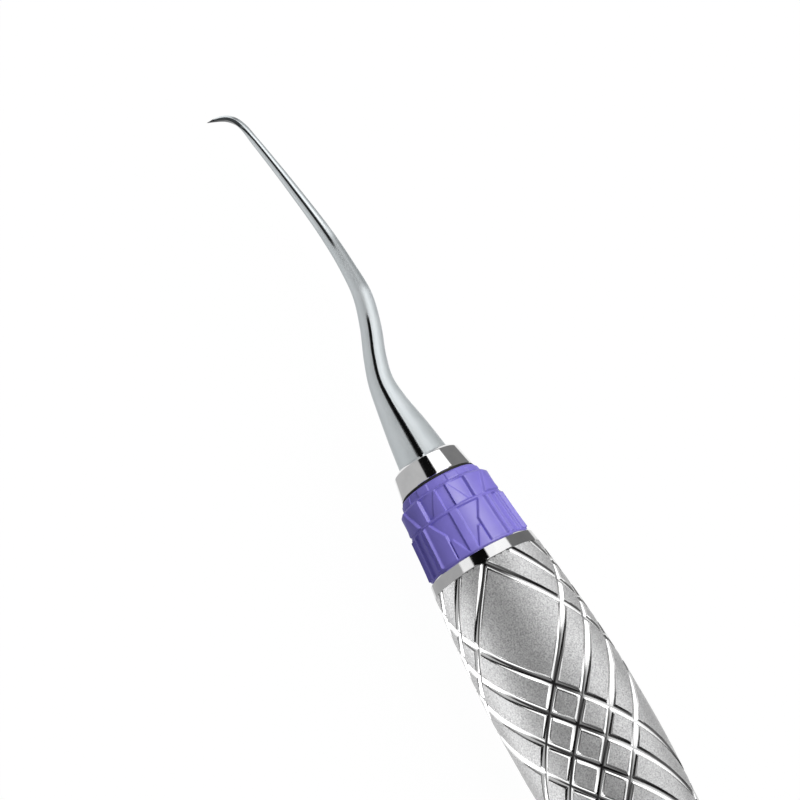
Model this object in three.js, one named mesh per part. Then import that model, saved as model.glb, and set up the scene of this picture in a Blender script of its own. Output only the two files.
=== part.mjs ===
// Double-ended dental hand scaler: a hollow steel handle that swells into two barrels,
// with a screw-in scaler tip at each end. Millimetres, +Z up, lying on a flat surface.
// X runs along the handle. The shanks bend in the horizontal XY plane.
import * as THREE from 'three';

// ---------------------------------------------------------------- driving dimensions
const HANDLE_RADIUS = 5.6;        // largest radius of the handle, at each barrel's crest
const WAIST_RADIUS = 4.15;        // smallest radius, half way along the handle
const END_RADIUS = 4.7;           // radius where the tube meets the polished flange
const JOINT_HALF_SPAN = 45.15;    // middle of the handle to each collar's seat
const TIP_REACH = 36.75;          // collar's seat to the point of the blade
const THREAD_RADIUS = 2.0;        // M4 x 0.7 stem
const FIT = 0.03;                 // radial gap that stands for a press fit
const RUNNING_FIT = 0.06;         // radial gap that stands for the thread's clearance
const FACE_GAP = 0.02;            // gap between two faces that rest on each other

const BARREL_SIDES = 20;
const SMALL_SIDES = 28;
const SHANK_SIDES = 12;

// Stations along one end, measured from the collar's seat towards the middle of the handle.
const COLLAR_FRONT = -2.2;
const SEAL_FRONT = 0;
const SEAL_BACK = 0.16;
const SLEEVE_FRONT = SEAL_BACK + FACE_GAP;
const FLANGE_FRONT = 7.0;
const FLANGE_BACK = 8.05;
const TUBE_END = FLANGE_BACK + FACE_GAP;
const PILOT_BACK = 16.0;
const SEAT_BACK = 16.6;           // end of the tube's cylindrical seat for the insert
const BARREL_CREST = 21.5;
const CREST_LAND = 3.0;           // length of the crest that is a true cylinder

const NOSE_RADIUS = 2.9;          // spigot that carries the grip sleeve
const NOSE_GROOVE_RADIUS = 2.6;
const NOSE_GROOVE = [2.4, 3.6];
const PILOT_RADIUS = 4.05;        // insert's spigot inside the tube
const GLAND_RADIUS = 3.0;         // floor of the O-ring's groove on the pilot
const GLAND = [10.0, 11.6];
const TUBE_WALL = 0.95;
const STEM_END = 6.0;
const SOCKET_DEPTH = 7.2;
const DRILL_POINT = 8.4;
const TANG_RADIUS = 1.12;
const TANG_END = 2.5;
const SHANK_BASE_RADIUS = 2.15;

// ---------------------------------------------------------------- materials
function steel(name, color, roughness) {
  return new THREE.MeshStandardMaterial({ name, color, roughness, metalness: 1 });
}

function elastomer(name, color, roughness) {
  return new THREE.MeshStandardMaterial({ name, color, roughness, metalness: 0 });
}

// ---------------------------------------------------------------- shape helpers
// A profile of [station, radius] pairs turned about the X axis. The facets, not the corners,
// lie at the stated radius, and one facet faces straight down.
function turned(profile, sides) {
  const stretch = 1 / Math.cos(Math.PI / sides);
  const points = profile.map(([station, radius]) => new THREE.Vector2(radius * stretch, station));
  const shape = new THREE.LatheGeometry(points, sides, Math.PI / sides);
  shape.rotateZ(-Math.PI / 2);
  return facingOut(shape);
}

// A lathe profile that runs the wrong way round gives inward faces, so its triangles are turned.
function facingOut(shape) {
  const at = shape.getAttribute('position');
  const index = shape.getIndex();
  const [a, b, c] = [new THREE.Vector3(), new THREE.Vector3(), new THREE.Vector3()];
  let volume = 0;
  for (let i = 0; i < index.count; i += 3) {
    a.fromBufferAttribute(at, index.getX(i));
    b.fromBufferAttribute(at, index.getX(i + 1));
    c.fromBufferAttribute(at, index.getX(i + 2));
    volume += a.dot(b.cross(c));
  }
  if (volume < 0) {
    for (let i = 0; i < index.count; i += 3) {
      const first = index.getX(i);
      index.setX(i, index.getX(i + 1));
      index.setX(i + 1, first);
    }
  }
  return shape;
}

// Outer radius of the handle tube: a long swell with a cylindrical crest, then a slim waist.
function tubeRadius(station) {
  const crestFront = BARREL_CREST - CREST_LAND / 2;
  const crestBack = BARREL_CREST + CREST_LAND / 2;
  if (station < crestFront) {
    const t = (crestFront - station) / (crestFront - TUBE_END);
    return HANDLE_RADIUS - (HANDLE_RADIUS - END_RADIUS) * t ** 1.6;
  }
  if (station > crestBack) {
    const t = (station - crestBack) / (JOINT_HALF_SPAN - crestBack);
    return HANDLE_RADIUS - (HANDLE_RADIUS - WAIST_RADIUS) * (0.5 - 0.5 * Math.cos(Math.PI * t));
  }
  return HANDLE_RADIUS;
}

function evenly(from, to, count) {
  return Array.from({ length: count + 1 }, (_, i) => from + ((to - from) * i) / count);
}

// ---------------------------------------------------------------- handle tube
// A formed steel tube of nearly even wall, open at both ends, with a round seat at each end.
function handleTube() {
  const crestFront = BARREL_CREST - CREST_LAND / 2;
  const crestBack = BARREL_CREST + CREST_LAND / 2;
  const outside = [...evenly(TUBE_END, crestFront, 5), ...evenly(crestBack, JOINT_HALF_SPAN, 8)];
  const inside = [SEAT_BACK + 1, BARREL_CREST, ...evenly(crestBack + 3, JOINT_HALF_SPAN, 4)];
  const bore = inside.map((u) => [u, tubeRadius(u) - TUBE_WALL]);
  const half = [[TUBE_END, PILOT_RADIUS + FIT], [SEAT_BACK, PILOT_RADIUS + FIT], ...bore];
  const skin = outside.map((u) => [u, tubeRadius(u)]);

  const toX = ([u, r]) => [u - JOINT_HALF_SPAN, r];
  const mirrored = ([x, r]) => [-x, r];
  const outerLeft = skin.map(toX);
  const outerRight = outerLeft.slice(0, -1).map(mirrored).reverse();
  const innerLeft = half.map(toX);
  const innerRight = innerLeft.slice(0, -1).map(mirrored);
  const loop = [...outerLeft, ...outerRight, ...innerRight, ...innerLeft.reverse()];
  return turned([...loop, loop[0]], BARREL_SIDES);
}

// ---------------------------------------------------------------- one end of the handle
// Steel insert: the nose under the grip sleeve, the polished flange, and the pilot in the tube.
function socketInsert() {
  const bore = THREAD_RADIUS + RUNNING_FIT;
  return turned([
    [DRILL_POINT, 0],
    [SOCKET_DEPTH, bore],
    [SLEEVE_FRONT, bore],
    [SLEEVE_FRONT, NOSE_RADIUS],
    [NOSE_GROOVE[0], NOSE_RADIUS],
    [NOSE_GROOVE[0], NOSE_GROOVE_RADIUS],
    [NOSE_GROOVE[1], NOSE_GROOVE_RADIUS],
    [NOSE_GROOVE[1], NOSE_RADIUS],
    [FLANGE_FRONT, NOSE_RADIUS],
    [FLANGE_FRONT, 4.52],
    [FLANGE_FRONT + 0.1, 4.58],
    [FLANGE_BACK, END_RADIUS],
    [FLANGE_BACK, PILOT_RADIUS],
    [GLAND[0], PILOT_RADIUS],
    [GLAND[0], GLAND_RADIUS],
    [GLAND[1], GLAND_RADIUS],
    [GLAND[1], PILOT_RADIUS],
    [PILOT_BACK - 0.5, PILOT_RADIUS],
    [PILOT_BACK, PILOT_RADIUS - 0.5],
    [PILOT_BACK, 0],
  ], BARREL_SIDES);
}

// Silicone grip: a low front tier, then the wider tapered body, keyed into the nose's groove.
function gripSleeve() {
  const bore = NOSE_RADIUS + FIT;
  const key = NOSE_GROOVE_RADIUS + FIT;
  const back = FLANGE_FRONT - FACE_GAP;
  return turned([
    [SLEEVE_FRONT, bore],
    [SLEEVE_FRONT, 3.26],
    [0.7, 3.44],
    [1.1, 3.84],
    [3.1, 3.98],
    [5.0, 4.18],
    [back, 4.45],
    [back, bore],
    [NOSE_GROOVE[1] - FIT, bore],
    [NOSE_GROOVE[1] - FIT, key],
    [NOSE_GROOVE[0] + FIT, key],
    [NOSE_GROOVE[0] + FIT, bore],
    [SLEEVE_FRONT, bore],
  ], BARREL_SIDES);
}

// O-ring that closes the hollow tube behind the flange.
function tubeSeal() {
  const section = (PILOT_RADIUS + FIT - GLAND_RADIUS) / 2 - FACE_GAP;
  const station = (GLAND[0] + GLAND[1]) / 2;
  const radius = GLAND_RADIUS + FACE_GAP + section;
  const round = evenly(0, 2 * Math.PI, 10).slice(1).map((angle) => [
    station + section * Math.cos(angle),
    radius + section * Math.sin(angle),
  ]);
  return turned([...round, round[0]], BARREL_SIDES);
}

// Thin black washer between the collar and the mouth of the socket.
function faceSeal() {
  return turned([
    [SEAL_FRONT, THREAD_RADIUS + 0.15],
    [SEAL_FRONT, 3.16],
    [SEAL_BACK, 3.18],
    [SEAL_BACK, THREAD_RADIUS + 0.15],
    [SEAL_FRONT, THREAD_RADIUS + 0.15],
  ], SMALL_SIDES);
}

// Conical collar with its threaded stem, bored from the front for the shank's tang.
function threadedCollar() {
  const back = SEAL_FRONT - FACE_GAP;
  return turned([
    [TANG_END + 0.4, 0],
    [TANG_END + 0.1, TANG_RADIUS + FIT],
    [COLLAR_FRONT, TANG_RADIUS + FIT],
    [COLLAR_FRONT, SHANK_BASE_RADIUS + 0.1],
    [COLLAR_FRONT + 0.1, SHANK_BASE_RADIUS + 0.4],
    [COLLAR_FRONT + 0.37, 2.86],
    [back - 0.14, 3.2],
    [back, 3.1],
    [back, THREAD_RADIUS - 0.15],
    [back + 0.3, THREAD_RADIUS - 0.15],
    [back + 0.45, THREAD_RADIUS],
    [STEM_END - 0.35, THREAD_RADIUS],
    [STEM_END, THREAD_RADIUS - 0.35],
    [STEM_END, 0],
  ], SMALL_SIDES);
}

// ---------------------------------------------------------------- scaler tip
// [station, sideways offset, diameter, share of the blade's three-sided section]
const SHANK = [
  [-2.22, 0, 4.3, 0],
  [-4.9, 0, 3.55, 0],
  [-7.6, 0, 2.62, 0],
  [-9.6, 0.15, 2.1, 0],
  [-11.55, 0.7, 1.88, 0],
  [-14.1, 1.68, 1.76, 0],
  [-16.7, 2.37, 1.59, 0],
  [-19.4, 2.48, 1.3, 0],
  [-22.9, 2.35, 1.11, 0],
  [-27.8, 1.83, 0.9, 0],
  [-33, 1.12, 0.7, 0],
  [-34.8, 0.8, 0.63, 0.5],
  [-35.62, 0.45, 0.62, 0.9],
  [-36.15, 0, 0.56, 1],
  [-36.44, -0.5, 0.45, 1],
  [-36.62, -1.05, 0.28, 1],
  [-TIP_REACH, -1.62, 0.03, 1],
];

// Three-sided section with its flat face towards the inside of the hook, blended with a circle.
function sectionRadius(angle, blade) {
  const third = (2 * Math.PI) / 3;
  const fromFace = Math.abs(angle - third * Math.round(angle / third));
  const flat = 0.62 / Math.cos(fromFace);
  return 1 + (flat - 1) * blade;
}

// Tang, shank and blade as one solid, with rings of points set square to its centre line.
function scalerTip() {
  const steps = 3 * (SHANK.length - 1);
  const route = new THREE.CatmullRomCurve3(SHANK.map(([u, y]) => new THREE.Vector3(u, y, 0)));
  const girth = new THREE.CatmullRomCurve3(SHANK.map(([, , d, s]) => new THREE.Vector3(d, s, 0)));
  const rings = [
    { centre: new THREE.Vector3(TANG_END, 0, 0), along: new THREE.Vector3(-1, 0, 0), radius: TANG_RADIUS },
    { centre: route.getPoint(0), along: new THREE.Vector3(-1, 0, 0), radius: TANG_RADIUS },
  ];
  for (let i = 0; i <= steps; i += 1) {
    const t = i / steps;
    const size = girth.getPoint(t);
    rings.push({
      centre: route.getPoint(t),
      along: i === 0 ? new THREE.Vector3(-1, 0, 0) : route.getTangent(t),
      radius: Math.max(size.x, 0.03) / 2,
      blade: THREE.MathUtils.clamp(size.y, 0, 1),
    });
  }
  return facingOut(loft(rings, SHANK_SIDES));
}

function loft(rings, sides) {
  const corners = [];
  const faces = [];
  for (const { centre, along, radius, blade = 0 } of rings) {
    const inward = new THREE.Vector3(-along.y, along.x, 0);
    for (let k = 0; k < sides; k += 1) {
      const angle = (2 * Math.PI * k) / sides;
      const reach = radius * sectionRadius(angle, blade);
      const point = centre.clone().addScaledVector(inward, reach * Math.cos(angle));
      corners.push(point.x, point.y, reach * Math.sin(angle));
    }
  }
  for (let i = 0; i + 1 < rings.length; i += 1) {
    for (let k = 0; k < sides; k += 1) {
      const near = i * sides + k;
      const next = i * sides + ((k + 1) % sides);
      faces.push(near, next, near + sides, next, next + sides, near + sides);
    }
  }
  const last = (rings.length - 1) * sides;
  for (let k = 1; k + 1 < sides; k += 1) {
    faces.push(0, k + 1, k);
    faces.push(last, last + k, last + k + 1);
  }
  const shape = new THREE.BufferGeometry();
  shape.setAttribute('position', new THREE.Float32BufferAttribute(corners, 3));
  shape.setIndex(faces);
  shape.computeVertexNormals();
  return shape;
}

// ---------------------------------------------------------------- assembly
function piece(name, shape, material) {
  const mesh = new THREE.Mesh(shape, material);
  mesh.name = name;
  return mesh;
}

function handleEnd(prefix) {
  const end = new THREE.Group();
  end.add(
    piece(`${prefix}_socket_insert`, socketInsert(), steel('polished_steel', 0xc9cacc, 0.1)),
    piece(`${prefix}_tube_seal`, tubeSeal(), elastomer('black_seal', 0x161617, 0.7)),
    piece(`${prefix}_grip_sleeve`, gripSleeve(), elastomer('violet_silicone', 0x8478c8, 0.45)),
    piece(`${prefix}_face_seal`, faceSeal(), elastomer('black_seal', 0x161617, 0.7)),
    piece(`${prefix}_collar`, threadedCollar(), steel('polished_steel', 0xc9cacc, 0.1)),
    piece(`${prefix}_scaler_tip`, scalerTip(), steel('blade_steel', 0xc3cacd, 0.14)),
  );
  end.position.x = -JOINT_HALF_SPAN;
  return end;
}

const scaler = new THREE.Group();
scaler.position.z = HANDLE_RADIUS;
scaler.add(piece('handle_tube', handleTube(), steel('satin_steel', 0xa6a7a8, 0.42)));
scaler.add(handleEnd('front'));

const rearHalf = new THREE.Group();
rearHalf.rotation.z = Math.PI;
rearHalf.add(handleEnd('rear'));
scaler.add(rearHalf);

export default scaler;
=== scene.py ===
import math

import bmesh
import bpy
import numpy as np
from mathutils import Matrix, Vector


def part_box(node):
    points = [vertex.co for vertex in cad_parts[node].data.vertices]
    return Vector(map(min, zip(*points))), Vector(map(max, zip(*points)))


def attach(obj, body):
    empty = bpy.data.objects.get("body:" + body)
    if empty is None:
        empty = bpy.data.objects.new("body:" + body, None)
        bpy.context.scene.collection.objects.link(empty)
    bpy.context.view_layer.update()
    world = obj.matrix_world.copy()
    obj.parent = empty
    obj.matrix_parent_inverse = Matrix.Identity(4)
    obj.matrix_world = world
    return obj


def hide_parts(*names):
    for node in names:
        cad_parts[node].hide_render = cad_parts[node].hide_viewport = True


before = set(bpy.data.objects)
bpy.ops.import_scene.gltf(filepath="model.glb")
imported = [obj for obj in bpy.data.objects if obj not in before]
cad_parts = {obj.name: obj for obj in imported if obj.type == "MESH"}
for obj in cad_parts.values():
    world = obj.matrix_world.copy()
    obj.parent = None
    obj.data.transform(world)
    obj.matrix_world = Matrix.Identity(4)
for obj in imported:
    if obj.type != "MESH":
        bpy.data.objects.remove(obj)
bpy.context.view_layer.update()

MM = 0.001
FULL_TURN = 2 * math.pi
WHITE = (1, 1, 1)

# ---------------------------------------------------------------- places read from the frame
SEAT_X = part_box("front_face_seal")[0].x / MM
HALF_SPAN = -SEAT_X
SPAN = 2 * HALF_SPAN
AXIS_Z = (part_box("handle_tube")[0].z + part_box("handle_tube")[1].z) / 2 / MM

# ---------------------------------------------------------------- driving dimensions, millimetres
# A station is a place along the handle, measured from an end's collar seat and growing towards the middle.
HANDLE_RADIUS = 5.6
WAIST_RADIUS = 4.15
END_RADIUS = 4.7
CREST_FRONT = 20.0
CREST_BACK = 23.0
TUBE_END = 8.07
TUBE_BORE = 4.08
TUBE_WALL = 0.95
BORE_CHAMFER = 0.06
SEAT_BACK = 16.6
NOSE_RADIUS = 2.9
KEY_FRONT = 2.4
KEY_BACK = 3.6
KEY_RADIUS = 2.6
PRESS_GAP = 0.03
THREAD_RADIUS = 2.0
THREAD_PITCH = 0.7
THREAD_DEPTH = 0.36
THREAD_ALLOWANCE = 0.02
THREAD_CLEARANCE = 0.06
THREAD_START = 0.34
THREAD_RUN_OUT = 0.5
THREAD_STEP = 0.035
NECK_RADIUS = 1.86
NECK_END = 0.3
STEM_END = 6.0
STEM_END_RADIUS = 1.5
STEM_CHAMFER = 0.4
COLLAR_FRONT = -2.2
COLLAR_BACK = -0.02
TANG_RADIUS = 1.12
TANG_END = 2.5
SHANK_FOOT = -2.22
TURNED_SIDES = 144

# Crossed helical grooves: one lattice unit is 1.76 mm along the handle and 15 degrees round it, which
# puts neighbouring lines 1.12 mm apart. Each family has grooves at these units of its period.
UNIT_LENGTH = 1.76
UNIT_ANGLE = math.radians(15)
UNIT_WIDTH = 1.12
LATTICE_ORIGIN = 18.75
LATTICE_TWIST = math.radians(1.15)
GROOVES = (0, 2, 4, 6)
PERIOD = 12
GROOVE_DEPTH = 0.2
GROOVE_WIDTH = 0.74
GROOVE_STEPS = 13
GROOVE_SHAPE = 2.2
LAND_STEP = 0.45

# The rear end is the front one turned half a turn about the vertical.
ENDS = (("front", 1), ("rear", -1))


# ---------------------------------------------------------------- mesh helpers
def end_to_row(points, side):
    """Points of one end (station, sideways, up) in mm, brought to the shared frame in metres."""
    p = np.asarray(points, float)
    x = side * (p[:, 0] - HALF_SPAN)
    return np.column_stack([x, side * p[:, 1], p[:, 2] + AXIS_Z]) * MM


def make_piece(name, points, faces, materials, kinds=None, sharp=30):
    """A smooth-shaded piece. Kinds gives each face the number of its material."""
    mesh = bpy.data.meshes.new(name)
    mesh.from_pydata([tuple(p) for p in points], [], faces)
    for m in materials:
        mesh.materials.append(m)
    if kinds is not None:
        mesh.polygons.foreach_set("material_index", kinds)
    mesh.validate()
    piece = bpy.data.objects.new(name, mesh)
    bpy.context.scene.collection.objects.link(piece)
    finish_normals(mesh, sharp)
    return piece


def finish_normals(mesh, sharp):
    """Turns every face outwards and keeps the edges steeper than sharp degrees crisp."""
    bm = bmesh.new()
    bm.from_mesh(mesh)
    bmesh.ops.recalc_face_normals(bm, faces=bm.faces)
    bm.to_mesh(mesh)
    bm.free()
    mesh.polygons.foreach_set("use_smooth", [True] * len(mesh.polygons))
    mesh.set_sharp_from_angle(angle=math.radians(sharp))
    mesh.update()


def angles_round(sides):
    return np.linspace(0, FULL_TURN, sides, endpoint=False)


def ring_points(station, radii, angles):
    """Points round the axis: angle 0 is up and grows towards +Y."""
    return np.column_stack(
        [np.full_like(angles, station), radii * np.sin(angles), radii * np.cos(angles)]
    )


def give_attribute(piece, name, values):
    """One value at each of the piece's points, for its material to read."""
    layer = piece.data.attributes.new(name, "FLOAT", "POINT")
    layer.data.foreach_set("value", np.asarray(values, np.float32))


def grid_faces(rows, columns, close_rows=False):
    """Quads of a grid whose columns close on themselves."""
    faces = []
    last = rows if close_rows else rows - 1
    for i in range(last):
        for j in range(columns):
            k = (j + 1) % columns
            near, far = i * columns, ((i + 1) % rows) * columns
            faces.append((near + j, near + k, far + k, far + j))
    return faces


def capped(rows, first_middle, last_middle):
    """Points and faces of a tube of rings, closed by a fan round a middle point at each end."""
    sides = len(rows[0])
    faces = grid_faces(len(rows), sides)
    points = np.vstack([*rows, [first_middle, last_middle]])
    first, last = len(points) - 2, len(points) - 1
    row = first - sides
    for j in range(sides):
        k = (j + 1) % sides
        faces += [(first, k, j), (last, row + j, row + k)]
    return points, faces


def turned(name, profile, side, materials, sides=TURNED_SIDES, sharp=30):
    """A closed profile of (station, radius) turned about the axis. Points on the axis become poles."""
    angles = angles_round(sides)
    rings = [(u, r) for u, r in profile if r > 1e-6]
    poles = [(i, u) for i, (u, r) in enumerate(profile) if r <= 1e-6]
    points = np.vstack([ring_points(u, r, angles) for u, r in rings])
    faces = grid_faces(len(rings), sides, close_rows=not poles)
    for i, u in poles:
        tip = len(points)
        points = np.vstack([points, [[u, 0, 0]]])
        row = 0 if i == 0 else (len(rings) - 1) * sides
        faces += [(tip, row + j, row + (j + 1) % sides) for j in range(sides)]
    return make_piece(name, end_to_row(points, side), faces, materials, sharp=sharp)


def rounded(profile, radius, steps=4):
    """Replaces each inner corner of an open profile by a small curve."""
    out = [profile[0]]
    for corner in zip(profile, profile[1:], profile[2:]):
        before, here, after = (np.array(p, float) for p in corner)
        length_before = np.linalg.norm(before - here)
        length_after = np.linalg.norm(after - here)
        reach = min(radius, length_before * 0.45, length_after * 0.45)
        start = here + (before - here) / length_before * reach
        stop = here + (after - here) / length_after * reach
        for k in range(steps + 1):
            t = k / steps
            out.append(tuple((1 - t) ** 2 * start + 2 * t * (1 - t) * here + t * t * stop))
    out.append(profile[-1])
    return out


def smooth_step(x):
    """0 up to x = 0 and 1 from x = 1 on, with a soft rise between."""
    x = np.clip(x, 0, 1)
    return x * x * (3 - 2 * x)


# ---------------------------------------------------------------- material helpers
def new_material(name):
    """A material with its node tree and its shader."""
    material = bpy.data.materials.new(name)
    material.use_nodes = True
    tree = material.node_tree
    shader = tree.nodes["Principled BSDF"]
    return material, tree, shader


def scaled_place(tree, scale=(1, 1, 1)):
    """Object coordinates in metres, multiplied by scale. A noise of scale 1000 has millimetre features."""
    place = tree.nodes.new("ShaderNodeTexCoord")
    mapping = tree.nodes.new("ShaderNodeMapping")
    mapping.inputs["Scale"].default_value = scale
    tree.links.new(place.outputs["Object"], mapping.inputs["Vector"])
    return mapping.outputs["Vector"]


def noise(tree, vector, scale, detail=2.0, roughness=0.5):
    node = tree.nodes.new("ShaderNodeTexNoise")
    node.inputs["Scale"].default_value = scale
    node.inputs["Detail"].default_value = detail
    node.inputs["Roughness"].default_value = roughness
    tree.links.new(vector, node.inputs["Vector"])
    return node.outputs["Fac"]


def ranged(tree, value, low, high, from_low=0.3, from_high=0.7):
    """A value brought from its own range, which is by default a noise's, to low and high."""
    node = tree.nodes.new("ShaderNodeMapRange")
    node.inputs["From Min"].default_value = from_low
    node.inputs["From Max"].default_value = from_high
    node.inputs["To Min"].default_value = low
    node.inputs["To Max"].default_value = high
    tree.links.new(value, node.inputs["Value"])
    return node.outputs["Result"]


def blended(tree, value, dark, light):
    """A colour between two fixed ones."""
    node = tree.nodes.new("ShaderNodeMix")
    node.data_type = "RGBA"
    node.inputs["A"].default_value = (*dark, 1)
    node.inputs["B"].default_value = (*light, 1)
    tree.links.new(value, node.inputs["Factor"])
    return node.outputs["Result"]


def attribute(tree, name):
    """A value that the mesh carries at its points."""
    node = tree.nodes.new("ShaderNodeAttribute")
    node.attribute_name = name
    return node.outputs["Fac"]


def worked(tree, operation, *values):
    """One step of arithmetic on one or two values."""
    node = tree.nodes.new("ShaderNodeMath")
    node.operation = operation
    for value, socket in zip(values, node.inputs):
        tree.links.new(value, socket)
    return node.outputs["Value"]


def mixed(tree, share, first, second):
    """The first colour where the share is 0, the second where it is 1."""
    node = tree.nodes.new("ShaderNodeMix")
    node.data_type = "RGBA"
    tree.links.new(share, node.inputs["Factor"])
    tree.links.new(first, node.inputs["A"])
    tree.links.new(second, node.inputs["B"])
    return node.outputs["Result"]


def toned(tree, value, tones):
    """A grey taken from (value, brightness) pairs, which run from their first value to their last."""
    first, last = tones[0][0], tones[-1][0]
    spread = ranged(tree, value, 0, 1, first, last)
    node = tree.nodes.new("ShaderNodeValToRGB")
    stops = node.color_ramp.elements
    stops[0].position = 0.0
    stops[1].position = 1.0
    for place, _ in tones[1:-1]:
        stops.new((place - first) / (last - first))
    for stop, (_, tone) in zip(stops, tones):
        stop.color = (tone, tone, tone, 1)
    tree.links.new(spread, node.inputs["Fac"])
    return node.outputs["Color"]


def bumped(tree, shader, height, distance, strength):
    node = tree.nodes.new("ShaderNodeBump")
    node.inputs["Strength"].default_value = strength
    node.inputs["Distance"].default_value = distance
    tree.links.new(height, node.inputs["Height"])
    tree.links.new(node.outputs["Normal"], shader.inputs["Normal"])


# ---------------------------------------------------------------- materials
def satin_steel():
    """Bead-blasted stainless steel: a fine pebbled grain with duller and brighter specks."""
    material, tree, shader = new_material("satin_steel_blasted")
    place = scaled_place(tree)
    grain = noise(tree, place, 8200, detail=2.5, roughness=0.6)
    patches = noise(tree, place, 420, detail=2.0)
    pits = tree.nodes.new("ShaderNodeTexVoronoi")
    pits.inputs["Scale"].default_value = 4300
    tree.links.new(place, pits.inputs["Vector"])
    clear = ranged(tree, pits.outputs["Distance"], 0.45, 1.0, 0.10, 0.26)
    shade = worked(tree, "MULTIPLY", ranged(tree, grain, 0, 1), clear)
    tint = blended(tree, shade, (0.21, 0.21, 0.213), (0.49, 0.49, 0.49))
    tree.links.new(tint, shader.inputs["Base Color"])
    shader.inputs["Metallic"].default_value = 0.5
    tree.links.new(ranged(tree, patches, 0.44, 0.52), shader.inputs["Roughness"])
    bumped(tree, shader, grain, 0.018 * MM, 0.85)
    return material


def polished_steel(name, dark, light):
    """Mirror-polished stainless steel with faint marks from turning and buffing."""
    material, tree, shader = new_material(name)
    turning = noise(tree, scaled_place(tree, (22000, 500, 500)), 1.0, detail=1.5)
    wear = noise(tree, scaled_place(tree), 900, detail=3.0)
    shader.inputs["Metallic"].default_value = 1.0
    tint = blended(tree, ranged(tree, wear, 0, 1), (dark, dark, dark * 1.01), (light, light, light))
    tree.links.new(tint, shader.inputs["Base Color"])
    tree.links.new(ranged(tree, wear, 0.05, 0.10), shader.inputs["Roughness"])
    bumped(tree, shader, turning, 0.0004 * MM, 0.35)
    return material


# Painted reflections across a groove: brightness from the edge of its bright wall (-1), by way of its dark
# bottom, to the edge of its dull wall (1).
GROOVE_REFLECTION_TONES = (
    (-1.0, 0.14),
    (-0.93, 0.20),
    (-0.86, 0.82),
    (-0.40, 0.86),
    (-0.28, 0.07),
    (0.06, 0.05),
    (0.18, 0.24),
    (0.56, 0.42),
    (0.66, 0.12),
    (0.76, 0.16),
    (0.86, 0.66),
    (1.0, 0.30),
)

# The same painted reflections along the top of the crest, where the bright wall is painted duller.
CREST_REFLECTION_TONES = (
    (-1.0, 0.16),
    (-0.90, 0.30),
    (-0.72, 0.44),
    (-0.44, 0.34),
    (-0.30, 0.06),
    (0.08, 0.05),
    (0.20, 0.26),
    (0.56, 0.36),
    (0.66, 0.12),
    (0.78, 0.18),
    (1.0, 0.30),
)

# The same painted reflections on the barrel's flanks, where a groove is painted with a narrow dark wall and a
# broad pale bottom.
FLANK_REFLECTION_TONES = (
    (-1.0, 0.30),
    (-0.92, 0.10),
    (-0.84, 0.04),
    (-0.62, 0.05),
    (-0.50, 0.34),
    (-0.20, 0.50),
    (0.05, 0.72),
    (0.50, 0.90),
    (0.68, 0.88),
    (0.78, 0.40),
    (0.88, 0.22),
    (1.0, 0.36),
)


def groove_steel():
    """The cut grooves, with light tool marks. Their bright wall, dark bottom and dull wall are painted
    reflections in the colour, painted paler and less metallic on the flanks.
    """
    material, tree, shader = new_material("groove_steel_burnished")
    marks = noise(tree, scaled_place(tree), 5200, detail=2.0)
    across = attribute(tree, "across")
    flank = attribute(tree, "flank")
    # Painted reflections: grey tones across each groove, different on the crest and on the flanks.
    plain = toned(tree, across, GROOVE_REFLECTION_TONES)
    crest = mixed(tree, attribute(tree, "crest"), plain, toned(tree, across, CREST_REFLECTION_TONES))
    side = toned(tree, worked(tree, "MULTIPLY", across, worked(tree, "SIGN", flank)), FLANK_REFLECTION_TONES)
    share = worked(tree, "ABSOLUTE", flank)
    tree.links.new(mixed(tree, share, crest, side), shader.inputs["Base Color"])
    tree.links.new(ranged(tree, share, 1.0, 0.78, 0, 1), shader.inputs["Metallic"])
    tree.links.new(ranged(tree, marks, 0.10, 0.18), shader.inputs["Roughness"])
    bumped(tree, shader, marks, 0.001 * MM, 0.3)
    return material


def blade_steel():
    """Hardened shank steel, cool in tone: softly brushed, with burnished lines. A painted dark reflection
    darkens the lines and the blade's faces, and painted shade darkens patches at the bend and the foot.
    """
    material, tree, shader = new_material("blade_steel_polished")
    strokes = noise(tree, scaled_place(tree, (400, 5200, 5200)), 1.0, detail=2.0)
    haze = noise(tree, scaled_place(tree), 650, detail=3.0)
    tint = blended(tree, ranged(tree, haze, 0, 1), (0.74, 0.785, 0.805), (0.80, 0.84, 0.86))
    # Near-black of the painted dark reflection and the painted shade, mixed in where the mesh's shade value
    # is high.
    shade = blended(tree, ranged(tree, haze, 0, 1), (0.018, 0.021, 0.023), (0.03, 0.034, 0.036))
    tree.links.new(mixed(tree, attribute(tree, "shade"), tint, shade), shader.inputs["Base Color"])
    burnish = attribute(tree, "burnish")
    finish = tree.nodes.new("ShaderNodeMix")
    finish.data_type = "FLOAT"
    finish.inputs["B"].default_value = 0.07
    tree.links.new(ranged(tree, haze, 0.44, 0.52), finish.inputs["A"])
    tree.links.new(burnish, finish.inputs["Factor"])
    tree.links.new(finish.outputs["Result"], shader.inputs["Roughness"])
    tree.links.new(ranged(tree, burnish, 0.6, 1.0, 0, 1), shader.inputs["Metallic"])
    bumped(tree, shader, strokes, 0.0006 * MM, 0.02)
    return material


def violet_silicone():
    """Moulded silicone: matt, faintly mottled, with a spark-eroded mould's fine texture."""
    material, tree, shader = new_material("violet_silicone_moulded")
    place = scaled_place(tree)
    texture = noise(tree, place, 11000, detail=2.0)
    mottling = noise(tree, place, 700, detail=3.0)
    tint = blended(tree, ranged(tree, mottling, 0, 1), (0.142, 0.119, 0.50), (0.160, 0.134, 0.55))
    tree.links.new(tint, shader.inputs["Base Color"])
    tree.links.new(ranged(tree, mottling, 0.44, 0.54), shader.inputs["Roughness"])
    shader.inputs["Specular IOR Level"].default_value = 0.5
    bumped(tree, shader, texture, 0.004 * MM, 0.35)
    return material


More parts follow.
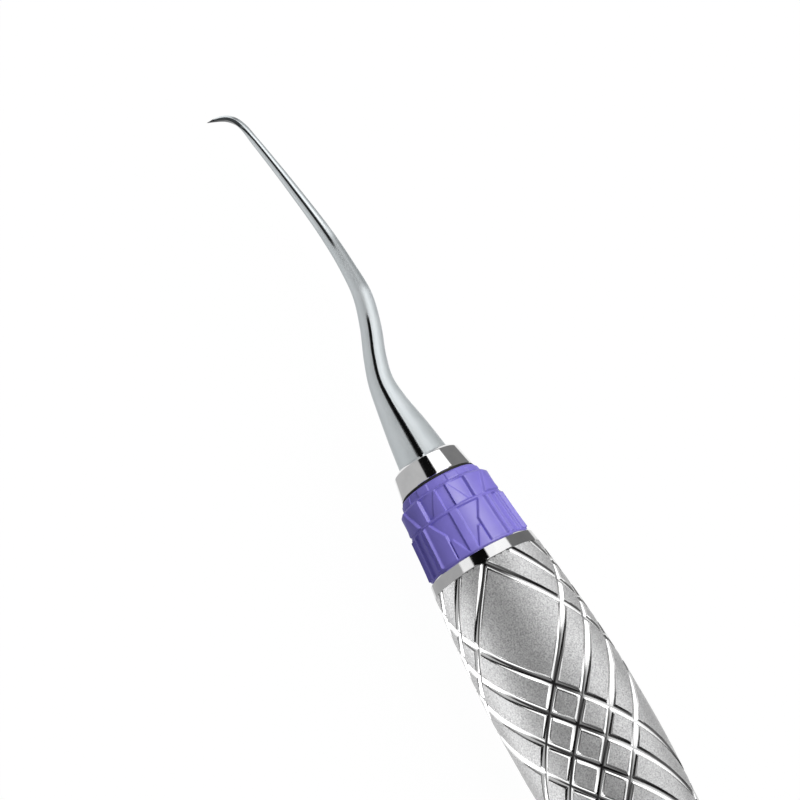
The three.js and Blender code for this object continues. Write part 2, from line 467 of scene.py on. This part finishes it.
def black_seal():
    """Black elastomer with a dull, slightly dusty skin."""
    material, tree, shader = new_material("black_seal_rubber")
    place = scaled_place(tree)
    dust = noise(tree, place, 2600, detail=4.0)
    tint = blended(tree, ranged(tree, dust, 0, 1), (0.006, 0.006, 0.007), (0.014, 0.014, 0.015))
    tree.links.new(tint, shader.inputs["Base Color"])
    tree.links.new(ranged(tree, dust, 0.55, 0.75), shader.inputs["Roughness"])
    shader.inputs["Specular IOR Level"].default_value = 0.3
    bumped(tree, shader, dust, 0.004 * MM, 0.4)
    return material


# ---------------------------------------------------------------- handle tube with crossed grooves
def tube_radius(u):
    """Outer radius at a station: two swelling barrels, their crests level, with a waist between."""
    u = np.minimum(u, SPAN - u)
    ahead = np.clip((CREST_FRONT - u) / (CREST_FRONT - TUBE_END), 0, None)
    behind = np.clip((u - CREST_BACK) / (HALF_SPAN - CREST_BACK), 0, 1)
    swell = (HANDLE_RADIUS - END_RADIUS) * ahead**1.6
    waist = (HANDLE_RADIUS - WAIST_RADIUS) * (0.5 - 0.5 * np.cos(math.pi * behind))
    return HANDLE_RADIUS - swell - waist


def lattice_lines():
    """One period of lattice lines: offset, groove depth, and place across the groove or None on a land."""
    half = GROOVE_WIDTH / 2 / UNIT_WIDTH
    lines = []
    for index, centre in enumerate(GROOVES):
        for share in np.linspace(-1, 1, GROOVE_STEPS):
            depth = GROOVE_DEPTH * (1 - abs(share) ** GROOVE_SHAPE)
            lines.append((centre + share * half, depth, share))
        here = centre + half
        after = GROOVES[index + 1] if index + 1 < len(GROOVES) else PERIOD
        there = after - half
        steps = max(2, round((there - here) / LAND_STEP))
        lines += [(here + (there - here) * k / steps, 0.0, None) for k in range(1, steps)]
    return lines


# Values that the barrel's mesh carries for the groove material's painted reflections: the place across the
# groove, how far the groove is down the barrel's flank, and how near it is to the crest.
LAYERS = ("across", "flank", "crest")

# Where round the barrel these, and with them the painted reflections, change, in degrees from the top.
FIRST_FLANK_START = 26
FIRST_FLANK_FADE = 16
SECOND_FLANK_MIDDLE = -11
SECOND_FLANK_START = 21
SECOND_FLANK_FADE = 18
CREST_MIDDLE = 6
CREST_REACH = 15
CREST_FADE = 10
SKIN_OVERHANG = 0.6


def groove_lattice():
    """The outer skin, a little past both ends: points (station, angle, depth, *LAYERS), quads and materials.

    Flank is 0 along the crest and 1 on the sides, and negative in the grooves of the second family, which
    mirrors the place across them.
    """
    lines = lattice_lines()
    count = len(lines)
    low = (TUBE_END - SKIN_OVERHANG - LATTICE_ORIGIN) / UNIT_LENGTH
    high = (SPAN - TUBE_END + SKIN_OVERHANG - LATTICE_ORIGIN) / UNIT_LENGTH

    def line(i):
        offset, depth, share = lines[i % count]
        return PERIOD * (i // count) + offset, depth, share

    first_b = math.floor((2 * low - 2 * PERIOD) / PERIOD - 1) * count
    last_b = math.ceil((2 * high) / PERIOD + 1) * count
    points, where = [], {}

    def corner(i, j):
        turns = i // (2 * count)
        i, j = i - 2 * count * turns, j + 2 * count * turns
        if (i, j) not in where:
            a, depth_a, share_a = line(i)
            b, depth_b, share_b = line(j)
            station = LATTICE_ORIGIN + UNIT_LENGTH * (a + b) / 2
            angle = UNIT_ANGLE * (a - b) / 2 + LATTICE_TWIST
            around = (math.degrees(angle) + 180) % 360 - 180
            if share_b is None or (share_a is not None and depth_a >= depth_b):
                across = 1 if share_a is None else share_a
                flank = smooth_step((around - FIRST_FLANK_START) / FIRST_FLANK_FADE)
            else:
                across = -share_b
                off = abs(around - SECOND_FLANK_MIDDLE)
                flank = -smooth_step((off - SECOND_FLANK_START) / SECOND_FLANK_FADE)
            crest = smooth_step((CREST_REACH - abs(around - CREST_MIDDLE)) / CREST_FADE)
            where[(i, j)] = len(points)
            points.append((station, angle, max(depth_a, depth_b), across, flank, crest))
        return where[(i, j)]

    faces, cut = [], []
    for i in range(2 * count):
        a = line(i)[0]
        for j in range(first_b, last_b):
            middle = (a + line(j)[0]) / 2
            if low <= middle <= high:
                quad = [corner(i, j), corner(i + 1, j), corner(i + 1, j + 1), corner(i, j + 1)]
                faces.append(quad)
                cut.append(int(max(points[k][2] for k in quad) > 0))
    return np.array(points), faces, cut


def zip_loops(outer, inner):
    """Triangles between two closed loops of (angle, index), each sorted by angle."""
    faces = []
    i = j = 0
    while i < len(outer) or j < len(inner):
        here = (outer[i % len(outer)][1], inner[j % len(inner)][1])
        next_outer = outer[i + 1][0] if i + 1 < len(outer) else outer[0][0] + FULL_TURN
        next_inner = inner[j + 1][0] if j + 1 < len(inner) else inner[0][0] + FULL_TURN
        if j >= len(inner) or (i < len(outer) and next_outer <= next_inner):
            faces.append((here[0], outer[(i + 1) % len(outer)][1], here[1]))
            i += 1
        else:
            faces.append((here[0], inner[(j + 1) % len(inner)][1], here[1]))
            j += 1
    return faces


def clipped_skin():
    """The outer skin cut square at both ends: points, LAYERS' values, faces, their materials and both rims.

    A rim is a list of (angle, point number), sorted by angle.
    """
    skin, faces, cut = groove_lattice()
    radius = tube_radius(skin[:, 0]) - skin[:, 2]
    bm = bmesh.new()
    layers = [bm.verts.layers.float.new(name) for name in LAYERS]
    corners = [bm.verts.new(p) for p in ring_points(skin[:, 0], radius, skin[:, 1])]
    for corner, values in zip(corners, skin[:, 3:]):
        for layer, value in zip(layers, values):
            corner[layer] = value
    for quad, kind in zip(faces, cut):
        face = bm.faces.new([corners[k] for k in quad])
        face.material_index = kind
    planes = ((TUBE_END, -1), (SPAN - TUBE_END, 1))
    for station, direction in planes:
        bmesh.ops.bisect_plane(
            bm,
            geom=bm.verts[:] + bm.edges[:] + bm.faces[:],
            dist=1e-6,
            plane_co=(station, 0, 0),
            plane_no=(direction, 0, 0),
            clear_outer=True,
        )
    bm.verts.index_update()
    points = [tuple(v.co) for v in bm.verts]
    carried = [[v[layer] for v in bm.verts] for layer in layers]
    faces = [tuple(v.index for v in f.verts) for f in bm.faces]
    kinds = [f.material_index for f in bm.faces]
    boundary = {v.index for e in bm.edges if e.is_boundary for v in e.verts}
    bm.free()
    rims = []
    for station, _ in planes:
        rim = [k for k in boundary if abs(points[k][0] - station) < 1e-4]
        rims.append(sorted((math.atan2(points[k][1], points[k][2]) % FULL_TURN, k) for k in rim))
    return points, carried, faces, kinds, rims


def tube_bore():
    """Stations and radii of the bore: a seat for the insert at each end and an even wall between."""
    seat = [
        (TUBE_END, TUBE_BORE + BORE_CHAMFER),
        (TUBE_END + BORE_CHAMFER, TUBE_BORE),
        (SEAT_BACK, TUBE_BORE),
    ]
    middle = np.linspace(SEAT_BACK + 1, SPAN - SEAT_BACK - 1, 40)
    bore = seat + [(u, tube_radius(u) - TUBE_WALL) for u in middle]
    return bore + [(SPAN - u, r) for u, r in reversed(seat)]


def handle_tube(land, groove):
    points, carried, faces, kinds, rims = clipped_skin()
    bore = tube_bore()
    angles = angles_round(TURNED_SIDES)
    first = len(points)
    for u, r in bore:
        points += [tuple(p) for p in ring_points(u, r, angles)]
    wall = [tuple(first + k for k in quad) for quad in grid_faces(len(bore), TURNED_SIDES)]
    for rim, row in zip(rims, (0, len(bore) - 1)):
        start = first + row * TURNED_SIDES
        inner = [(float(angle), start + k) for k, angle in enumerate(angles)]
        wall += zip_loops(rim, inner)
    faces += wall
    kinds += [0] * len(wall)
    piece = make_piece(
        "handle_barrel_grooved", end_to_row(points, 1), faces, [land, groove], kinds, sharp=24
    )
    for name, values in zip(LAYERS, carried):
        give_attribute(piece, name, values + [0.0] * (len(points) - len(values)))
    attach(piece, "handle")
    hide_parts("handle_tube")
    return piece


# ---------------------------------------------------------------- moulded grip sleeve
# (station, radius) of the sleeve without its relief: a lip at the front, then two tiers.
SLEEVE_PROFILE = (
    (0.18, 3.24),
    (0.26, 3.32),
    (0.80, 3.43),
    (0.90, 3.52),
    (1.02, 3.80),
    (1.14, 3.87),
    (3.00, 3.93),
    (3.14, 3.98),
    (5.00, 4.12),
    (6.00, 4.21),
    (6.88, 4.31),
    (6.98, 4.25),
)

SLEEVE_SIDES = 600
SLEEVE_ROWS = 140
RELIEF = 1.7
REPEAT = 120


def wall_up(position, place, width):
    """0 before a line and 1 behind it, with a soft wall of that width."""
    return smooth_step((position - place) / width + 0.5)


def between(u, low, high, soft=0.1):
    """1 between two stations and 0 outside them."""
    return wall_up(u, low, soft) * (1 - wall_up(u, high, soft))


def ridge(position, place, width):
    """1 on a line, falling off softly on both sides."""
    return np.exp(-(((position - place) / width) ** 2))


def sleeve_relief(angle, u):
    """Height of the moulded pattern in mm, at a station u.

    It repeats each third of a turn, and a is the number of degrees from the nearest repeat's middle.
    """
    a = np.abs((np.degrees(angle) + REPEAT / 2) % REPEAT - REPEAT / 2)

    pads = 0.05 * (wall_up(a, 14, 1.8) - wall_up(a, 31, 1.8) + wall_up(a, 48, 1.8))
    front_tier = between(u, 0.28, 0.84) * pads

    facet = 0.03 - 0.14 * np.clip((a - 6.5) / 25.5, 0, 1)
    upper = np.where(a < 32, facet, -0.11)
    upper = upper - 0.13 * (1 - wall_up(a, 6.5, 1.7))
    upper = upper + 0.14 * wall_up(a, 32, 1.7)
    crease = 9 + 16 * (u - 1.1) / 1.9
    upper = upper - 0.04 * wall_up(a, crease, 1.4) * (1 - wall_up(a, 31, 1.6))
    slant = 58.5 - 14 * (u - 1.15) / 1.9
    upper = upper + 0.12 * wall_up(a, slant, 3.0)
    upper_tier = between(u, 1.12, 3.0, 0.12) * upper

    kink = np.where(u < 4.7, 31 - 10.5 * (u - 3.5) / 1.2, 20.5)
    lower = -0.10 * wall_up(a, 5, 1.7)
    lower = lower + 0.13 * wall_up(a, kink, 1.8)
    short = 15.5 - 9.5 * (u - 5.3) / 1.4
    inside = (1 - wall_up(a, 19.5, 1.6)) * wall_up(u, 5.25, 0.25)
    lower = lower + 0.10 * wall_up(a, short, 1.8) * inside
    lower = lower + 0.11 * ridge(a, 41.5, 1.4)
    lower = lower + 0.07 * ridge(a, 48.5, 1.0)
    lower = lower - 0.13 * wall_up(a, 55, 1.8)
    lower_tier = between(u, 3.26, 6.76, 0.12) * lower

    seam = 0.05 * ridge(u, 3.12, 0.08)
    return RELIEF * (front_tier + upper_tier + lower_tier + seam)


def grip_sleeve(end, side, silicone):
    """The sleeve, with a rib inside that sits in the nose's groove."""
    profile = np.array(SLEEVE_PROFILE)
    stations = np.linspace(profile[0, 0], profile[-1, 0], SLEEVE_ROWS)
    base = np.interp(stations, profile[:, 0], profile[:, 1])
    angles = angles_round(SLEEVE_SIDES)
    rows = [ring_points(u, r + sleeve_relief(angles, u), angles) for u, r in zip(stations, base)]
    bore = NOSE_RADIUS + PRESS_GAP
    rib = KEY_RADIUS + PRESS_GAP
    front, back = KEY_FRONT + PRESS_GAP, KEY_BACK - PRESS_GAP
    key = ((back, bore), (back, rib), (front, rib), (front, bore))
    inner = ((stations[-1], bore), *key, (stations[0], bore))
    rows += [ring_points(u, r, angles) for u, r in inner]
    points = np.vstack(rows)
    faces = grid_faces(len(rows), SLEEVE_SIDES, close_rows=True)
    piece = make_piece(f"{end}_sleeve_moulded", end_to_row(points, side), faces, [silicone], sharp=60)
    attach(piece, "handle")
    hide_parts(f"{end}_grip_sleeve")
    return piece


# ---------------------------------------------------------------- other turned pieces
def socket_insert(end, side, steel):
    """The insert: blind bore for the stem, nose, polished ring, and a pilot with the O-ring's groove."""
    bore = THREAD_RADIUS + THREAD_CLEARANCE
    pilot = TUBE_BORE - PRESS_GAP
    profile = [
        (8.4, 0),
        (7.2, bore),
        (0.32, bore),
        (0.18, bore + 0.14),
        (0.18, NOSE_RADIUS),
        (KEY_FRONT, NOSE_RADIUS),
        (KEY_FRONT, KEY_RADIUS),
        (KEY_BACK, KEY_RADIUS),
        (KEY_BACK, NOSE_RADIUS),
        (7.0, NOSE_RADIUS),
        (7.0, 4.46),
        (7.1, 4.56),
        (7.98, 4.69),
        (8.05, 4.64),
        (8.05, pilot),
        (10.0, pilot),
        (10.0, 3.0),
        (11.6, 3.0),
        (11.6, pilot),
        (15.5, pilot),
        (16.0, 3.55),
        (16.0, 0),
    ]
    piece = turned(f"{end}_insert_turned", profile, side, [steel])
    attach(piece, "handle")
    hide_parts(f"{end}_socket_insert")
    return piece


def round_section(station, radius, section, steps=24):
    """Profile of a ring with a round section, its middle at that station and radius."""
    turn = angles_round(steps)
    return [(station + section * math.cos(t), radius + section * math.sin(t)) for t in turn]


def tube_seal(end, side, rubber):
    section = round_section(10.8, 3.54, 0.52)
    piece = turned(f"{end}_o_ring", section, side, [rubber], sides=96, sharp=60)
    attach(piece, "handle")
    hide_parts(f"{end}_tube_seal")


def face_seal(end, side, rubber):
    hole = THREAD_RADIUS + 0.15
    bulge = [(0.0, 3.15), (0.03, 3.2), (0.08, 3.215), (0.13, 3.2), (0.16, 3.15)]
    profile = [(0.0, hole), *bulge, (0.16, hole)]
    piece = turned(f"{end}_seal_washer", profile, side, [rubber], sharp=50)
    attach(piece, f"{end}_seal")
    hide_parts(f"{end}_face_seal")
    return piece


def thread_ring(u, angles):
    """One ring of the stem's right-hand M4 x 0.7 thread, which runs out at the neck and the end's chamfer."""
    phase = (u / THREAD_PITCH + angles / FULL_TURN) % 1.0
    tooth = np.clip(1.25 - 2.5 * np.abs(phase - 0.5), 0, 1)
    radius = THREAD_RADIUS - THREAD_ALLOWANCE - THREAD_DEPTH * (1 - tooth)
    run_out = min(1.0, (u - NECK_END) / THREAD_RUN_OUT)
    radius = NECK_RADIUS + (radius - NECK_RADIUS) * run_out
    chamfer = max(0.0, u - (STEM_END - STEM_CHAMFER))
    return ring_points(u, np.minimum(radius, THREAD_RADIUS - chamfer), angles)


def collar(end, side, steel):
    """Collar and stem in one closed skin, with a blind hole for the shank's tang."""
    angles = angles_round(TURNED_SIDES)
    bore = [(TANG_END + 0.1, TANG_RADIUS + PRESS_GAP), (COLLAR_FRONT, TANG_RADIUS + PRESS_GAP)]
    shoulder = rounded([(COLLAR_FRONT, 2.26), (-2.12, 2.5), (-1.86, 2.87), (-0.13, 3.2)], 0.06)
    seat = [(COLLAR_BACK, 3.12), (COLLAR_BACK, NECK_RADIUS), (NECK_END, NECK_RADIUS)]
    rows = [ring_points(u, r, angles) for u, r in bore + shoulder + seat]
    rows += [thread_ring(u, angles) for u in np.arange(THREAD_START, STEM_END, THREAD_STEP)]
    rows.append(ring_points(STEM_END, STEM_END_RADIUS, angles))
    points, faces = capped(rows, (TANG_END + 0.4, 0, 0), (STEM_END, 0, 0))
    piece = make_piece(f"{end}_collar_threaded", end_to_row(points, side), faces, [steel], sharp=32)
    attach(piece, f"{end}_tip")
    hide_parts(f"{end}_collar")


# ---------------------------------------------------------------- shank and blade
# (station, sideways offset, diameter, share of the blade's three-sided section)
SHANK = (
    (SHANK_FOOT, 0, 4.3, 0),
    (-4.9, 0, 3.55, 0),
    (-7.6, 0, 2.62, 0),
    (-9.6, 0.15, 2.1, 0),
    (-11.55, 0.7, 1.88, 0),
    (-14.1, 1.68, 1.76, 0),
    (-16.7, 2.37, 1.59, 0),
    (-19.4, 2.48, 1.3, 0),
    (-22.9, 2.35, 1.11, 0),
    (-27.8, 1.83, 0.9, 0),
    (-33, 1.12, 0.7, 0),
    (-34.8, 0.8, 0.63, 0.5),
    (-35.62, 0.45, 0.62, 0.9),
    (-36.15, 0, 0.56, 1),
    (-36.44, -0.5, 0.45, 1),
    (-36.62, -1.05, 0.28, 1),
    (-36.75, -1.62, 0.03, 1),
)

BLADE_FACE = 0.62
BLADE_CORNER = math.radians(57)
TIP_SIDES = 96

# Stations at which the tip's finish, its painted shade and its painted dark reflection change.
FOOT_SHADE_END = -7.5
NEAR_LINE_END = -15.4
BEND_MIDDLE = -19.7
FAR_LINE_START = -20.9
BRIGHT_START = -22.6
LINE_FADE = 1.2


def catmull_rom(stations, steps):
    """A centripetal curve through the stations, as (point, tangent) with steps samples per span."""
    p = np.array(stations, float)
    p = np.vstack([2 * p[0] - p[1], p, 2 * p[-1] - p[-2]])
    out = []
    for i in range(1, len(p) - 2):
        p0, p1, p2, p3 = p[i - 1 : i + 3]
        gap = [max(np.linalg.norm(b[:2] - a[:2]) ** 0.5, 1e-4) for a, b in ((p0, p1), (p1, p2), (p2, p3))]
        m1 = gap[1] * ((p1 - p0) / gap[0] - (p2 - p0) / (gap[0] + gap[1])) + (p2 - p1)
        m2 = gap[1] * ((p3 - p2) / gap[2] - (p3 - p1) / (gap[1] + gap[2])) + (p2 - p1)
        last = i == len(p) - 3
        for k in range(steps + (1 if last else 0)):
            t = k / steps
            value = (
                (2 * t**3 - 3 * t**2 + 1) * p1
                + (t**3 - 2 * t**2 + t) * m1
                + (-2 * t**3 + 3 * t**2) * p2
                + (t**3 - t**2) * m2
            )
            slope = (
                (6 * t**2 - 6 * t) * p1
                + (3 * t**2 - 4 * t + 1) * m1
                + (-6 * t**2 + 6 * t) * p2
                + (3 * t**2 - 2 * t) * m2
            )
            out.append((value, slope[:2] / max(np.linalg.norm(slope[:2]), 1e-9)))
    return out


def section_reach(angle, blade):
    """Round section blended with a three-sided one whose corners are only slightly eased."""
    third = FULL_TURN / 3
    from_face = np.abs(angle - third * np.round(angle / third))
    flat = BLADE_FACE / np.cos(np.minimum(from_face, BLADE_CORNER))
    return 1 + (flat - 1) * blade


def tip_finish(u, blade, from_inner):
    """How burnished one ring is and how much painted shade it has, by degrees round from the inner side of
    the hook.

    A burnished line with a painted dark reflection runs along the top and the bottom, at 90 degrees. It stops
    at the bend, and it widens over the blade's faces. The outer side has a little painted shade at the bend
    and near the foot.
    """
    near = smooth_step((u - NEAR_LINE_END) / LINE_FADE)
    far = smooth_step((FAR_LINE_START - u) / LINE_FADE)
    bright = smooth_step((BRIGHT_START - u) / 1.6)
    half_width = 8 + 5 * far + 57 * blade**2
    off_line = np.abs(from_inner - 90 + 32 * blade)
    inside = smooth_step((half_width + 1.5 - off_line) / 3)
    line = inside * (near + 0.78 * far)
    burnish = np.maximum(line, max(0.45 * bright, 0.9 * blade))

    # Painted shade on the outer side at the foot and the bend, and the painted dark reflection along the line
    # and over the blade.
    outer = smooth_step((from_inner - 88) / 14)
    foot_shade = 0.12 * outer * smooth_step((u - FOOT_SHADE_END) / 4)
    at_bend = smooth_step(3.1 - abs(u - BEND_MIDDLE))
    bend_shade = 0.45 * at_bend * outer * smooth_step((168 - from_inner) / 30)
    line_shade = inside * min(1, max(1.8 * blade, 0.8 * far))
    shade = np.maximum(np.maximum(line_shade, 0.3 * blade), np.maximum(bend_shade, foot_shade))
    return burnish, shade


def scaler_tip(end, side, steel):
    """Tang, shank and blade in one closed skin; angle 0 of a ring is on the inner side of the hook."""
    angles = angles_round(TIP_SIDES)
    tang = ((TANG_END, TANG_RADIUS - 0.15), (TANG_END - 0.15, TANG_RADIUS), (SHANK_FOOT, TANG_RADIUS))
    rows, blades = [], [0] * len(tang)
    for u, r in tang:
        rows.append(np.column_stack([np.full(TIP_SIDES, u), r * np.cos(angles), r * np.sin(angles)]))
    for (u, y, d, blade), (tx, ty) in catmull_rom(SHANK, 10):
        if len(rows) == len(tang):
            tx, ty = -1.0, 0.0
        blade = min(max(blade, 0), 1)
        reach = max(d, 0.03) / 2 * section_reach(angles, blade)
        across = reach * np.cos(angles)
        rows.append(np.column_stack([u - ty * across, y + tx * across, reach * np.sin(angles)]))
        blades.append(blade)
    points, faces = capped(rows, (TANG_END, 0, 0), rows[-1].mean(axis=0))
    piece = make_piece(f"{end}_shank_and_blade", end_to_row(points, side), faces, [steel], sharp=38)
    from_inner = np.degrees(np.arccos(np.cos(angles)))
    finishes = [tip_finish(row[:, 0].mean(), blade, from_inner) for row, blade in zip(rows, blades)]
    # The shade values carry the painted shade and the painted dark reflection to the material.
    for name, values in zip(("burnish", "shade"), zip(*finishes)):
        give_attribute(piece, name, np.concatenate([*values, [0, 0]]))
    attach(piece, f"{end}_tip")
    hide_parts(f"{end}_scaler_tip")
    return piece


# ---------------------------------------------------------------- floor, backdrop, studio light
TABLE_RADIUS = 1.6
DOME_RADIUS = 1.58


def glowing_white(name, glow, base):
    """A surface that glows evenly; base is the grey that it has of its own."""
    material, _, shader = new_material(name)
    shader.inputs["Base Color"].default_value = (base, base, base, 1)
    shader.inputs["Roughness"].default_value = 1.0
    shader.inputs["Specular IOR Level"].default_value = 0.0
    shader.inputs["Emission Color"].default_value = (*WHITE, 1)
    shader.inputs["Emission Strength"].default_value = glow
    return material


def seen_only(name, bm, material):
    """A stage piece that the camera sees, and that neither lights nor shades the instrument."""
    mesh = bpy.data.meshes.new(name)
    bm.to_mesh(mesh)
    bm.free()
    mesh.materials.append(material)
    piece = bpy.data.objects.new(name, mesh)
    bpy.context.scene.collection.objects.link(piece)
    piece.visible_diffuse = False
    piece.visible_glossy = False
    piece.visible_shadow = False


def light_table():
    """The floor: a plain pale disc."""
    bm = bmesh.new()
    bmesh.ops.create_circle(bm, cap_ends=True, segments=128, radius=TABLE_RADIUS)
    seen_only("light_table", bm, glowing_white("light_table_white", 0.97, 0.05))


def backdrop():
    """A pale dome over the floor."""
    bm = bmesh.new()
    bmesh.ops.create_uvsphere(bm, u_segments=64, v_segments=32, radius=DOME_RADIUS)
    seen_only("backdrop", bm, glowing_white("backdrop_pale", 0.98, 0.0))


# Studio panels round the handle's axis: (first degree, brightness), 0 straight up and + towards +Y.
PANELS = (
    (-180, 0.95),
    (-150, 0.53),
    (-19, 0.004),
    (17, 1.45),
    (69, 0.22),
    (146, 0.95),
)
PANEL_BLUR = 1.2


def studio_world():
    """Panels that run the length of the handle, each with a soft edge."""
    world = bpy.data.worlds.new("studio")
    bpy.context.scene.world = world
    world.use_nodes = True
    tree = world.node_tree
    place = tree.nodes.new("ShaderNodeTexCoord")
    split = tree.nodes.new("ShaderNodeSeparateXYZ")
    tree.links.new(place.outputs["Generated"], split.inputs["Vector"])
    around = worked(tree, "ARCTAN2", split.outputs["Y"], split.outputs["Z"])
    bands = [PANELS[0]]
    for (_, before), (degree, level) in zip(PANELS, PANELS[1:]):
        bands += [(degree - PANEL_BLUR, before), (degree + PANEL_BLUR, level)]
    bands.append((180, PANELS[-1][1]))
    peak = max(level for _, level in PANELS)
    tones = [(math.radians(degree), level / peak) for degree, level in bands]
    background = tree.nodes["Background"]
    tree.links.new(toned(tree, around, tones), background.inputs["Color"])
    background.inputs["Strength"].default_value = peak


LIGHT_AIM = Vector((-0.03, 0, 0))  # metres; a little ahead of the handle's middle


def soft_light(name, location, size, power, colour, pieces):
    """A soft panel that is aimed near the front end and lights some pieces only."""
    data = bpy.data.lights.new(name, "AREA")
    data.shape = "RECTANGLE"
    data.size, data.size_y = size
    data.energy = power
    data.color = colour
    light = bpy.data.objects.new(name, data)
    light.location = location
    aim = LIGHT_AIM - Vector(location)
    light.rotation_mode = "QUATERNION"
    light.rotation_quaternion = aim.to_track_quat("-Z", "Y")
    bpy.context.scene.collection.objects.link(light)
    receivers = bpy.data.collections.new(f"{name}_receivers")
    for piece in pieces:
        receivers.objects.link(piece)
    light.light_linking.receiver_collection = receivers


CAMERA_LEAN = math.radians(14.5474)
CAMERA_ROLL = math.radians(30.0669)
CAMERA_FROM_SEAT = (32.94, 0.755, 155.83)  # millimetres from the middle of the front collar's seat


def camera():
    """A 90 mm lens above the front end, leaning towards the rear and rolled."""
    data = bpy.data.cameras.new("camera")
    data.lens = 90
    data.sensor_width = 36
    data.clip_start = 0.01
    data.clip_end = 10
    eye = bpy.data.objects.new("camera", data)
    sideways = Vector((0, 1, 0))
    ahead = Vector((-math.cos(CAMERA_LEAN), 0, math.sin(CAMERA_LEAN)))
    back = Vector((math.sin(CAMERA_LEAN), 0, math.cos(CAMERA_LEAN)))
    right = sideways * math.cos(CAMERA_ROLL) - ahead * math.sin(CAMERA_ROLL)
    up = sideways * math.sin(CAMERA_ROLL) + ahead * math.cos(CAMERA_ROLL)
    turn = Matrix((right, up, back)).transposed().to_4x4()
    seat = Vector((SEAT_X, 0, AXIS_Z))
    place = (seat + Vector(CAMERA_FROM_SEAT)) * MM
    eye.matrix_world = Matrix.Translation(place) @ turn
    bpy.context.scene.collection.objects.link(eye)
    bpy.context.scene.camera = eye


def studio_lights(barrel, inserts, soft_pieces, tips):
    disc, strip = (0.14, 0.14), (1.2, 0.42)
    warm, cool = (1.0, 1.0, 0.70), (0.96, 1, 1)
    soft_light("key_panel", (-0.10, 0.335, 0.365), disc, 2.1, warm, soft_pieces)
    soft_light("barrel_key", (-0.22, 0.40, 0.20), disc, 0.2, WHITE, barrel)
    soft_light("barrel_top", (-0.10, 0.01, 0.45), (1.2, 0.26), 0.2, WHITE, barrel)
    soft_light("barrel_right", (-0.10, 0.45, 0.06), strip, 3.2, WHITE, barrel)
    soft_light("barrel_left", (-0.10, -0.46, -0.01), strip, 4.9, WHITE, barrel)
    soft_light("tip_right", (-0.05, 0.50, 0.02), strip, 0.55, cool, tips)
    soft_light("tip_left", (-0.05, -0.50, 0.04), strip, 0.36, cool, tips)
    soft_light("ring_gleam", (-0.26, -0.22, 0.38), (0.16, 0.16), 0.06, WHITE, inserts)


# ---------------------------------------------------------------- the scene
def build():
    mirror = polished_steel("polished_steel_turned", 0.78, 0.86)
    # The ring's steel is a darker copy of the same polished steel: painted shade that dims its reflections.
    dimmed_ring_steel = polished_steel("polished_steel_ring", 0.60, 0.66)
    rubber = black_seal()
    silicone = violet_silicone()
    blade = blade_steel()
    barrel = [handle_tube(satin_steel(), groove_steel())]
    inserts, soft_pieces, tips = [], [], []
    for end, side in ENDS:
        inserts.append(socket_insert(end, side, dimmed_ring_steel))
        tube_seal(end, side, rubber)
        soft_pieces.append(grip_sleeve(end, side, silicone))
        soft_pieces.append(face_seal(end, side, rubber))
        collar(end, side, mirror)
        tips.append(scaler_tip(end, side, blade))
    light_table()
    backdrop()
    studio_world()
    studio_lights(barrel, inserts, soft_pieces, tips)
    camera()
    bpy.context.scene.view_settings.view_transform = "Standard"


build()
